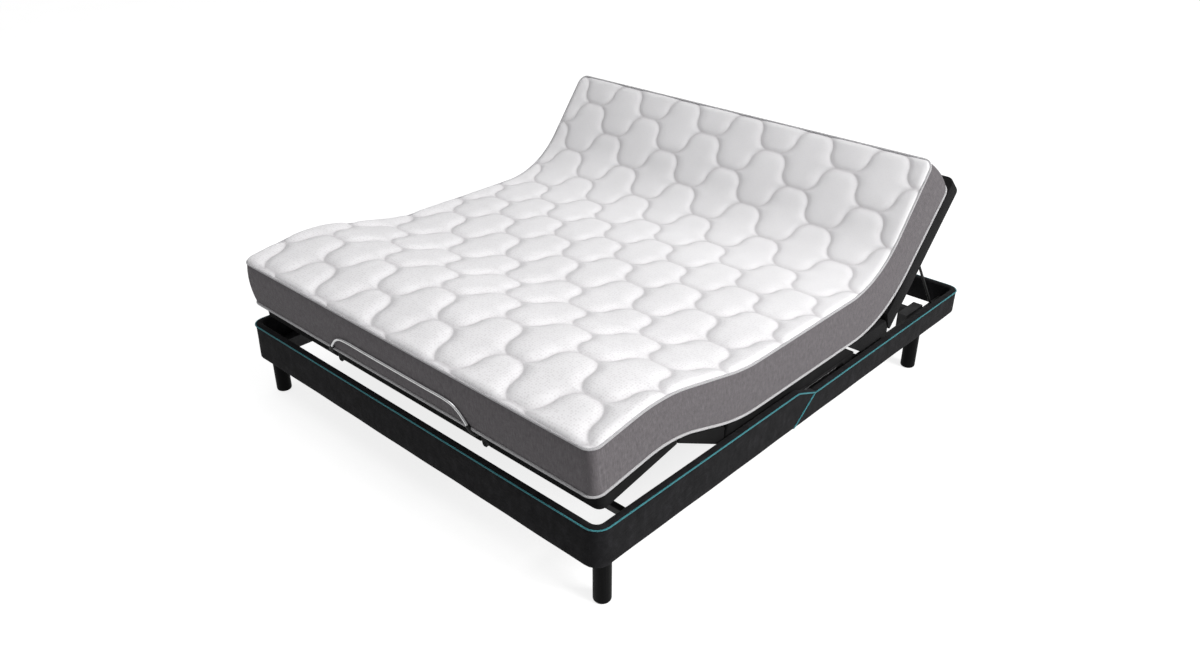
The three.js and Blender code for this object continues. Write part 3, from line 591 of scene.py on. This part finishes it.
def build_decks():
    bodies = {"deck_seat": "frame", "deck_hip": "frame", "deck_back": "back_section",
              "deck_thigh": "thigh_section", "deck_foot": "foot_section"}
    for node, body in bodies.items():
        panel = NODES[node]
        mesh = bmesh.new()
        mesh.from_mesh(panel.data)
        bmesh.ops.remove_doubles(mesh, verts=mesh.verts, dist=1e-5)
        bmesh.ops.dissolve_limit(mesh, angle_limit=math.radians(3), verts=mesh.verts, edges=mesh.edges)
        sharp = [e for e in mesh.edges if len(e.link_faces) == 2 and e.calc_face_angle(0) > math.radians(24)]
        bmesh.ops.bevel(mesh, geom=sharp, offset=DECK_EDGE_R, offset_type="OFFSET", segments=4, profile=0.5,
                        affect="EDGES", clamp_overlap=True)
        bmesh.ops.triangulate(mesh, faces=[f for f in mesh.faces if len(f.verts) > 4])
        if node == "deck_foot":
            fill_out_end(mesh, panel.matrix_world)
        data = bpy.data.meshes.new(f"{node}_upholstered")
        mesh.to_mesh(data)
        mesh.free()
        data.materials.append(DECK_CLOTH)
        data.polygons.foreach_set("use_smooth", [True] * len(data.polygons))
        data.set_sharp_from_angle(angle=math.radians(32))
        obj = bpy.data.objects.new(f"{node}_upholstered", data)
        obj.matrix_world = panel.matrix_world
        bpy.context.scene.collection.objects.link(obj)
        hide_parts(node)
        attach(obj, body)


# ------------------------------------------------------------------ mattress
ARC_STEPS = 24


def filleted(corners, radii):
    """A (y, z) line through corners with an arc of the given radius at each inner corner.
    Returns its points, the distance along it, and the distance at each arc's middle."""
    points, middles = [np.array(corners[0], float)], []
    for before, corner, after, radius in zip(corners[:-2], corners[1:-1], corners[2:], radii):
        a, b, c = (np.array(p, float) for p in (before, corner, after))
        u = (a - b) / np.linalg.norm(a - b)
        v = (c - b) / np.linalg.norm(c - b)
        half = math.acos(np.clip(u @ v, -1, 1)) / 2
        cut = radius / math.tan(half)
        centre = b + (u + v) / np.linalg.norm(u + v) * radius / math.sin(half)
        first, last = b + u * cut - centre, b + v * cut - centre
        start = math.atan2(first[1], first[0])
        sweep = (math.atan2(last[1], last[0]) - start + math.pi) % (2 * math.pi) - math.pi
        for k in range(ARC_STEPS + 1):
            turn = start + sweep * k / ARC_STEPS
            points.append(centre + radius * np.array((math.cos(turn), math.sin(turn))))
            if k == ARC_STEPS // 2:
                middles.append(len(points) - 1)
    points.append(np.array(corners[-1], float))
    points = np.array(points)
    along = np.concatenate([[0], np.cumsum(np.linalg.norm(np.diff(points, axis=0), axis=1))])
    return points, along, [0.0, *along[middles], along[-1]]


# Side view at rest: the lower and the upper piping, from the foot end over the knee to the head end
LOWER_LINE = filleted([(-0.985, 0.3651), (-0.6854, 0.4072), (-0.3813, 0.312), (0.438, 0.311),
                       (0.7969, 0.7027)], [0.45, 0.64, 0.43])
UPPER_LINE = filleted([(-0.996, 0.5155), (-0.7348, 0.5574), (-0.3667, 0.4750), (0.3703, 0.4775),
                       (0.6420, 0.8280)], [0.56, 0.65, 0.352])


def line_at(line, t):
    """Point of a side line at stations t: whole numbers are the ends and the middles of the three bends."""
    points, along, stops = line
    s = np.interp(t, range(len(stops)), stops)
    return np.stack([np.interp(s, along, points[:, k]) for k in range(2)], 1)


def side_points(t, w):
    """(y, z) at stations t and height w: 0 is the lower piping, 1 the upper piping."""
    low, high = line_at(LOWER_LINE, t), line_at(UPPER_LINE, t)
    return low + (high - low) * np.asarray(w)[..., None]


def seam_wave(x):
    """Round-shouldered wave of the quilting seams across the bed, from -1 to 1, upright at zero."""
    phase = np.abs((x / TUFT_PITCH + 0.5) % 2 - 1)
    climb = np.clip((0.5 - phase) / (0.5 - SEAM_FLAT), -1, 1)
    return np.sign(climb) * np.sqrt(1 - (1 - np.abs(climb)) ** 2)


def seam_row_distance(row):
    """Distance from the head end of a quilting row number; the rows are longer over the legs."""
    return TUFT_START + row * TUFT_ROW + np.maximum(row - LEG_ROW, 0) * (TUFT_ROW_LEGS - TUFT_ROW)


def seam_rows(x, row):
    """Row number of seam number row across the bed: each seam is the mirror image of the next."""
    return row + 0.5 + 0.5 * (-1) ** (row % 2) * seam_wave(x)


def seam_distance(x, head_distance):
    """Signed plan distance of each point to the nearest sewn seam; each seam changes the sign."""
    step = 0.0025
    line_x = np.arange(-MAT_HALF_W - 0.02, MAT_HALF_W + 0.02, step / 3)
    numbers = range(-2, 17)
    rows = [np.column_stack([line_x, seam_row_distance(seam_rows(line_x, n))]) for n in numbers]
    samples = np.concatenate([resample(row, step) for row in rows])
    tree = kdtree.KDTree(len(samples))
    for index, (a, b) in enumerate(samples):
        tree.insert((a, b, 0), index)
    tree.balance()
    flat = np.column_stack([x.ravel(), head_distance.ravel()])
    gap = np.array([tree.find((a, b, 0))[2] for a, b in flat]).reshape(x.shape)
    crossed = sum(head_distance > seam_row_distance(seam_rows(x, n)) for n in numbers)
    return np.where(crossed % 2 == 0, gap, -gap)


def half_width(end_distance):
    """Half the width of the mattress at a distance from its nearer end, with rounded plan corners."""
    inside = np.clip(MAT_CORNER_R - end_distance, 0, MAT_CORNER_R)
    return MAT_HALF_W - MAT_CORNER_R + np.sqrt(MAT_CORNER_R ** 2 - inside ** 2)


def stations():
    """Stations along the mattress, fine at the rounded ends: t, distance to the nearer end, distance."""
    total = UPPER_LINE[2][-1]
    pace = 0.0056
    turn = np.linspace(0, math.pi / 2, 9)
    rounded = MAT_CORNER_R * (1 - np.cos(turn))
    middle = np.linspace(MAT_CORNER_R, total - MAT_CORNER_R, int(total / pace))[1:-1]
    s = np.concatenate([rounded, middle, total - rounded[::-1]])
    t = np.interp(s, UPPER_LINE[2], range(5))
    return t, np.minimum(s, total - s), s


BORDER_LEVELS = [1.0, 0.965, 0.90, 0.78, 0.62, 0.46, 0.30, 0.16, 0.06, 0.0]


def top_surface(t, end_distance, s):
    """Quilted top as a grid: its X, its points, and the signed distance to the nearest seam."""
    cols = 289
    across = np.sin(np.linspace(-1, 1, cols) * 1.25) / math.sin(1.25)
    across = 0.35 * across + 0.65 * np.linspace(-1, 1, cols)
    width = half_width(end_distance)
    x = width[:, None] * across[None, :]
    yz = side_points(t, np.ones(len(t)))
    along = unit_rows(np.gradient(yz, axis=0))
    normal = np.stack([-along[:, 1], along[:, 0]], 1)
    edge = np.minimum((width[:, None] - np.abs(x)), end_distance[:, None] + 0 * x)
    rounding = np.sqrt(np.clip(1 - (1 - np.clip(edge / EDGE_ROUNDING, 0, 1)) ** 2, 0, 1))
    head_distance = (UPPER_LINE[2][-1] - s)[:, None] + 0 * x
    signed = seam_distance(x, head_distance)
    seam = np.abs(signed)
    dome = 1 - np.exp(-((seam / TUFT_SPAN) ** 1.5))
    groove = 1 - np.exp(-seam / GROOVE_WIDTH)
    depth = np.interp(head_distance, (0.5, 1.1), (TUFT_DEPTH_BACK, TUFT_DEPTH_LEGS))
    lift = (CROWN + depth * dome + SEAM_DEPTH * groove) * rounding - TOP_SINK
    y = yz[:, 0, None] + normal[:, 0, None] * lift
    z = yz[:, 1, None] + normal[:, 1, None] * lift
    return x, np.stack([x, y, z], -1), np.stack([x, head_distance], -1), signed, along


def edge_loop(rows, cols):
    """Closed loop round the edge of the grid: one side, the head end, the other side, the foot end."""
    return ([(i, cols - 1) for i in range(rows)] + [(rows - 1, j) for j in range(cols - 2, -1, -1)]
            + [(i, 0) for i in range(rows - 2, -1, -1)] + [(0, j) for j in range(1, cols - 1)])


def border_rings(t, end_distance, s, loop, x, along):
    """Rings of points down the border and under the skirt, with the distance walked round the edge."""
    cols = x.shape[1]
    li = np.array([p[0] for p in loop])
    lj = np.array([p[1] for p in loop])
    loop_x = x[li, lj]
    plan = np.stack([loop_x, s[li]], 1)
    step = np.roll(plan, -1, 0) - np.roll(plan, 1, 0)
    out = np.stack([step[:, 1], -step[:, 0]], 1) / np.linalg.norm(step, axis=1)[:, None]
    walk = np.concatenate([[0], np.cumsum(np.linalg.norm(np.diff(plan, axis=0), axis=1))])
    corner = (np.isin(lj, (0, cols - 1))) & (end_distance[li] < MAT_CORNER_R)
    rise = np.clip(1 - end_distance[li] / MAT_CORNER_R, 0, 1)
    tighter = np.where(corner, MAT_CORNER_R - BORDER_CORNER_R, 0.0)
    sharp_x = tighter * (1 - np.sqrt(1 - rise ** 2)) * np.sign(loop_x)
    sharp_y = tighter * (1 - rise) * np.where(s[li] < UPPER_LINE[2][-1] / 2, -1, 1)
    rings = []
    for w in BORDER_LEVELS:
        bulge = 0.0050 * math.sin(math.pi * min(1.0, max(0.0, w))) ** 0.8 - 0.0022
        base = side_points(t[li], np.full(len(li), w))
        square = math.sqrt(max(0.0, math.sin(math.pi * w)))
        rings.append((loop_x + out[:, 0] * bulge + sharp_x * square,
                      base + (out[:, 1] * bulge + sharp_y * square)[:, None] * along[li], w))
    skirt = -MAT_SKIRT * (1 + 0.95 * np.clip((t[li] - 2.9) / 0.25, 0, 1))
    low = side_points(t[li], np.zeros(len(li)))
    low_along = unit_rows(np.gradient(side_points(t, np.zeros(len(t))), axis=0))
    low_normal = np.stack([-low_along[:, 1], low_along[:, 0]], 1)
    for share, tuck in ((0.7, 0.0028), (1.0, 0.0075)):
        base = low + low_normal[li] * (skirt * share)[:, None]
        rings.append((loop_x - out[:, 0] * tuck, base - (out[:, 1] * tuck)[:, None] * low_along[li], 0.0))
    return rings, walk, t[li]


def shell_faces(rows, cols, loop, ring_count):
    """Faces of the shell, their material numbers, and the end faces of the underside."""
    count, number = rows * cols, len(loop)
    faces = strip_faces(rows, cols)
    kinds = [0] * len(faces)
    above = [i * cols + j for i, j in loop]
    for index in range(ring_count):
        ring = [count + index * number + k for k in range(number)]
        for k in range(number):
            n = (k + 1) % number
            faces.append((above[n], above[k], ring[k], ring[n]))
            kinds.append(0 if index == 0 else (1 if index < len(BORDER_LEVELS) else 2))
        above = ring
    # underside: strips from side to side, with one face at each end that meets all of its edge points
    last = count + (ring_count - 1) * number
    where = {p: last + k for k, p in enumerate(loop)}
    for i in range(1, rows - 2):
        faces.append((where[(i, cols - 1)], where[(i, 0)], where[(i + 1, 0)], where[(i + 1, cols - 1)]))
        kinds.append(2)
    foot_end = [where[(0, j)] for j in range(cols - 1, -1, -1)] + [where[(1, 0)], where[(1, cols - 1)]]
    head_end = ([where[(rows - 1, j)] for j in range(cols)]
                + [where[(rows - 2, cols - 1)], where[(rows - 2, 0)]])
    return faces, kinds, [foot_end, head_end]


def mattress_shell():
    """Points, faces, material numbers, UVs, stations and end faces of the mattress in the rest pose."""
    t, end_distance, s = stations()
    x, top, ticking_uv, signed, along = top_surface(t, end_distance, s)
    rows, cols = x.shape
    loop = edge_loop(rows, cols)
    rings, walk, loop_t = border_rings(t, end_distance, s, loop, x, along)
    verts = [top.reshape(-1, 3)]
    uvs = [ticking_uv.reshape(-1, 2)]
    for ring_x, ring_yz, w in rings:
        verts.append(np.column_stack([ring_x, ring_yz]))
        uvs.append(np.column_stack([walk, np.full(len(walk), BORDER_HEIGHT * w)]))
    faces, kinds, ends = shell_faces(rows, cols, loop, len(rings))
    station = np.concatenate([np.repeat(t, cols), np.tile(loop_t, len(rings))])
    near = np.concatenate([signed.ravel(), np.full(len(rings) * len(loop), 2 * SEAM_REACH)])
    return np.concatenate(verts), np.array(faces), np.array(kinds), np.concatenate(uvs), station, near, ends


MAT_CUTS = (1.50, 2.42)


def mattress_piece(name, shell, normals, low, high):
    """The stretch of the mattress between two stations as an object, with its end faces."""
    verts, faces, kinds, uvs, station, near, ends = shell
    centre = station[faces].mean(1)
    keep = (centre > low) & (centre < high)
    used = np.unique(faces[keep])
    renumber = np.full(len(verts), -1)
    renumber[used] = np.arange(len(used))
    new_faces = [tuple(f) for f in renumber[faces[keep]].tolist()]
    closing = [tuple(renumber[end].tolist()) for end in ends if low < station[end].mean() < high]
    obj = piece(name, verts[used], new_faces + closing, TICKING, BORDER, UNDERSIDE)
    data = obj.data
    data.polygons.foreach_set("material_index", kinds[keep].tolist() + [2] * len(closing))
    layer = data.uv_layers.new(name="UVMap")
    corner = np.empty(len(data.loops), dtype=np.int64)
    data.loops.foreach_get("vertex_index", corner)
    layer.data.foreach_set("uv", uvs[used][corner].astype(np.float32).reshape(-1))
    data.attributes.new("seam", "FLOAT", "POINT").data.foreach_set("value", near[used].astype(np.float32))
    data.normals_split_custom_set_from_vertices([tuple(n) for n in normals[used]])
    return obj


def piping_paths(line, radius, low, high):
    """Runs of piping between two stations: two sides, joined round an end where the stretch has one."""
    t = stations()[0]
    t = np.concatenate([[low] if low > 0 else [], t[(t > low) & (t < high)], [high] if high < 4 else []])
    s = np.interp(t, range(5), UPPER_LINE[2])
    width = half_width(np.minimum(s, UPPER_LINE[2][-1] - s)) - radius * 0.35
    yz = line_at(line, t)
    left, right = np.column_stack([-width, yz]), np.column_stack([width, yz])
    if low <= 0:
        return [resample(np.concatenate([left[::-1], right]), 0.0045)]
    if high >= 4:
        return [resample(np.concatenate([left, right[::-1]]), 0.0045)]
    return [resample(left, 0.006), resample(right, 0.006)]


def vertex_normals(verts, faces):
    a, b, c, d = (verts[faces[:, k]] for k in range(4))
    cross = np.cross(c - a, d - b)
    total = np.zeros_like(verts)
    for k in range(4):
        np.add.at(total, faces[:, k], cross)
    return total / np.maximum(np.linalg.norm(total, axis=1), 1e-12)[:, None]


def build_mattress():
    shell = mattress_shell()
    normals = vertex_normals(shell[0], shell[1])
    near, far = MAT_CUTS
    spans = {"foot": (-1, near), "middle": (near, far), "head": (far, 5)}
    stands_for = {"foot": ["mattress_foot", "mattress_thigh"], "middle": ["mattress_seat"],
                  "head": ["mattress_back"]}
    for part, (low, high) in spans.items():
        body = mattress_piece(f"mattress_{part}_quilted", shell, normals, low, high)
        # the upper piping wears the darker copy of the piping cloth, which is painted shade
        upper = tubes(f"mattress_{part}_piping_upper", piping_paths(UPPER_LINE, UPPER_PIPING_R, low, high),
                      UPPER_PIPING_R, PIPING_CORD_PAINTED_SHADE)
        lower = tubes(f"mattress_{part}_piping_lower", piping_paths(LOWER_LINE, LOWER_PIPING_R, low, high),
                      LOWER_PIPING_R, SILVER_CORD)
        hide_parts(*stands_for[part])
        for obj in (body, upper, lower):
            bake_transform(obj)


# ------------------------------------------------------------------ retainer and stays
def build_retainer():
    """Wire loop at the foot that stops the mattress sliding, drawn in the flat pose of the foot section."""
    y_clamp, y_out, top = -0.970, -1.0055, 0.373
    half = [(0.347, y_clamp, 0.2838), (0.347, y_clamp - 0.0015, 0.289), (0.346, y_clamp - 0.009, 0.2936),
            (0.345, y_clamp - 0.024, 0.295), (0.341, y_out + 0.003, 0.300), (0.334, y_out, 0.309),
            (0.317, y_out, 0.331), (0.296, y_out, 0.353), (0.270, y_out, 0.368), (0.240, y_out, top)]
    points = [*half, (0.13, y_out, top), (-0.13, y_out, top), *[(-x, y, z) for x, y, z in reversed(half)]]
    smooth = rounded_path(np.array(points), 14)
    wire = tubes("retainer_wire", [foot_to_rest(smooth)], WIRE_R, BRIGHT_STEEL, sides=16)
    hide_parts("retainer_bar")
    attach(wire, "foot_section")
    sleeves = [smooth[(smooth[:, 2] < SLEEVE_TOP) & (side * smooth[:, 0] > 0)] for side in (-1, 1)]
    cover = tubes("retainer_sleeves", [foot_to_rest(path) for path in sleeves], SLEEVE_R, PLASTIC, sides=14)
    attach(cover, "foot_section")


def rounded_path(points, per_span):
    """A centripetal Catmull-Rom path through points."""
    ends = np.vstack([2 * points[0] - points[1], points, 2 * points[-1] - points[-2]])
    out = []
    for p0, p1, p2, p3 in zip(ends[:-3], ends[1:-2], ends[2:-1], ends[3:]):
        t1 = np.linalg.norm(p1 - p0) ** 0.5
        t2 = t1 + np.linalg.norm(p2 - p1) ** 0.5
        t3 = t2 + np.linalg.norm(p3 - p2) ** 0.5
        for t in np.linspace(t1, t2, per_span, endpoint=False):
            a1 = (t1 - t) / t1 * p0 + t / t1 * p1
            a2 = (t2 - t) / (t2 - t1) * p1 + (t - t1) / (t2 - t1) * p2
            a3 = (t3 - t) / (t3 - t2) * p2 + (t - t2) / (t3 - t2) * p3
            b1 = (t2 - t) / t2 * a1 + t / t2 * a2
            b2 = (t3 - t) / (t3 - t1) * a2 + (t - t1) / (t3 - t1) * a3
            out.append((t2 - t) / (t2 - t1) * b1 + (t - t1) / (t2 - t1) * b2)
    out.append(points[-1])
    return np.array(out)


def build_stays():
    for side, s in (("left", -1), ("right", 1)):
        x = s * STAY_X
        low, high = np.array((x, 0.8890, 0.2030)), np.array((x, 0.7015, 0.4590))
        path = [low + (high - low) * k / 40 for k in range(41)]
        stay = tubes(f"stay_cord_{side}", [path], STAY_R, RUBBER, sides=12)
        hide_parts(f"stay_{side}")
        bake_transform(stay)


# ------------------------------------------------------------------ hard parts kept from the CAD
def build_hard_parts():
    for node in NODES:
        if node.startswith("leg_"):
            soften(node, LACQUER, 0)
        elif node.startswith(("side_beam", "cross_member", "seat_support", "hip_post")):
            soften(node, BLACK_STEEL, 0.0012)
        elif "_lug_" in node or node.endswith("_lever"):
            soften(node, BLACK_STEEL, 0.0006, 2)
        elif node.endswith("_motor") or node == "control_box" or node.startswith("retainer_clamp"):
            soften(node, PLASTIC, 0.0016)
        elif node.endswith("_push_rod"):
            soften(node, BRIGHT_STEEL, 0.0006, 2)


# ------------------------------------------------------------------ camera, light and floor
FLOOR_GLOW = 0.82
FLOOR_BOUNCE = 0.44
SKY_GLOW = 1.0


def studio():
    scene = bpy.context.scene
    camera = bpy.data.objects.new("camera", bpy.data.cameras.new("camera"))
    camera.location = (2.1748, -2.4410, 1.9431)
    camera.rotation_euler = Vector((-0.59880, 0.64225, -0.47848)).to_track_quat("-Z", "Y").to_euler()
    camera.data.lens = 30.477
    camera.data.sensor_width = 36
    camera.data.sensor_fit = "HORIZONTAL"
    camera.data.clip_end = 100
    scene.collection.objects.link(camera)
    scene.camera = camera

    floor_look = Look("pale_floor")
    patch = floor_look.noise(floor_look.place((1, 1, 1)), 3.0, 3.0)
    paleness = floor_look.ramp(patch, (0.3, 0.0), (0.7, 1.0))
    pale = floor_look.mix(paleness, (0.30, 0.30, 0.30), (0.32, 0.32, 0.32))
    floor_look.finish(color=pale, rough=0.9, specular=0.0)
    seen = floor_look.add("ShaderNodeLightPath").outputs["Is Camera Ray"]
    glow = floor_look.add("ShaderNodeMapRange",
                          {"Value": seen, "To Min": FLOOR_BOUNCE, "To Max": FLOOR_GLOW})
    floor_look.put(floor_look.shader, {"Emission Color": (1, 1, 1, 1),
                                       "Emission Strength": glow.outputs["Result"]})
    grid = [(x * 16.0, y * 16.0, -0.0002) for y in (-1, 1) for x in (-1, 1)]
    floor = piece("floor", grid, [(0, 1, 3, 2)], floor_look.mat, smooth=False)

    world = bpy.data.worlds.new("studio")
    world.use_nodes = True
    tree = world.node_tree
    direction = tree.nodes.new("ShaderNodeTexCoord").outputs["Generated"]
    split = tree.nodes.new("ShaderNodeSeparateXYZ")
    tree.links.new(direction, split.inputs["Vector"])
    turn = tree.nodes.new("ShaderNodeMapRange")
    turn.inputs["From Min"].default_value = 0.0
    turn.inputs["From Max"].default_value = 1.0
    turn.inputs["To Min"].default_value = 0.05
    turn.inputs["To Max"].default_value = 0.70
    tree.links.new(split.outputs["Z"], turn.inputs["Value"])
    sky = tree.nodes["Background"]
    sky.inputs["Color"].default_value = (1.0, 1.0, 1.0, 1)
    seen_sky = tree.nodes.new("ShaderNodeMapRange")
    seen_sky.inputs["To Max"].default_value = SKY_GLOW
    tree.links.new(tree.nodes.new("ShaderNodeLightPath").outputs["Is Camera Ray"], seen_sky.inputs["Value"])
    tree.links.new(turn.outputs["Result"], seen_sky.inputs["To Min"])
    tree.links.new(seen_sky.outputs["Result"], sky.inputs["Strength"])
    scene.world = world
    lamps = (("key", (6.6, 0.85, 4.6), 3.4, 660, (1.0, 0.995, 0.985)),
             ("top", (-0.4, -1.5, 5.2), 3.0, 58, (1.0, 1.0, 1.0)))
    for name, place, size, power, tint in lamps:
        lamp = bpy.data.objects.new(name, bpy.data.lights.new(name, "AREA"))
        lamp.data.size = size
        lamp.data.energy = power
        lamp.data.color = tint
        lamp.location = place
        lamp.rotation_euler = (Vector((0, 0, 0.3)) - Vector(place)).to_track_quat("-Z", "Y").to_euler()
        scene.collection.objects.link(lamp)
    scene.view_settings.view_transform = "Standard"
    scene.view_settings.exposure = 0.0


build_rails()
build_decks()
build_mattress()
build_retainer()
build_stays()
build_hard_parts()
studio()
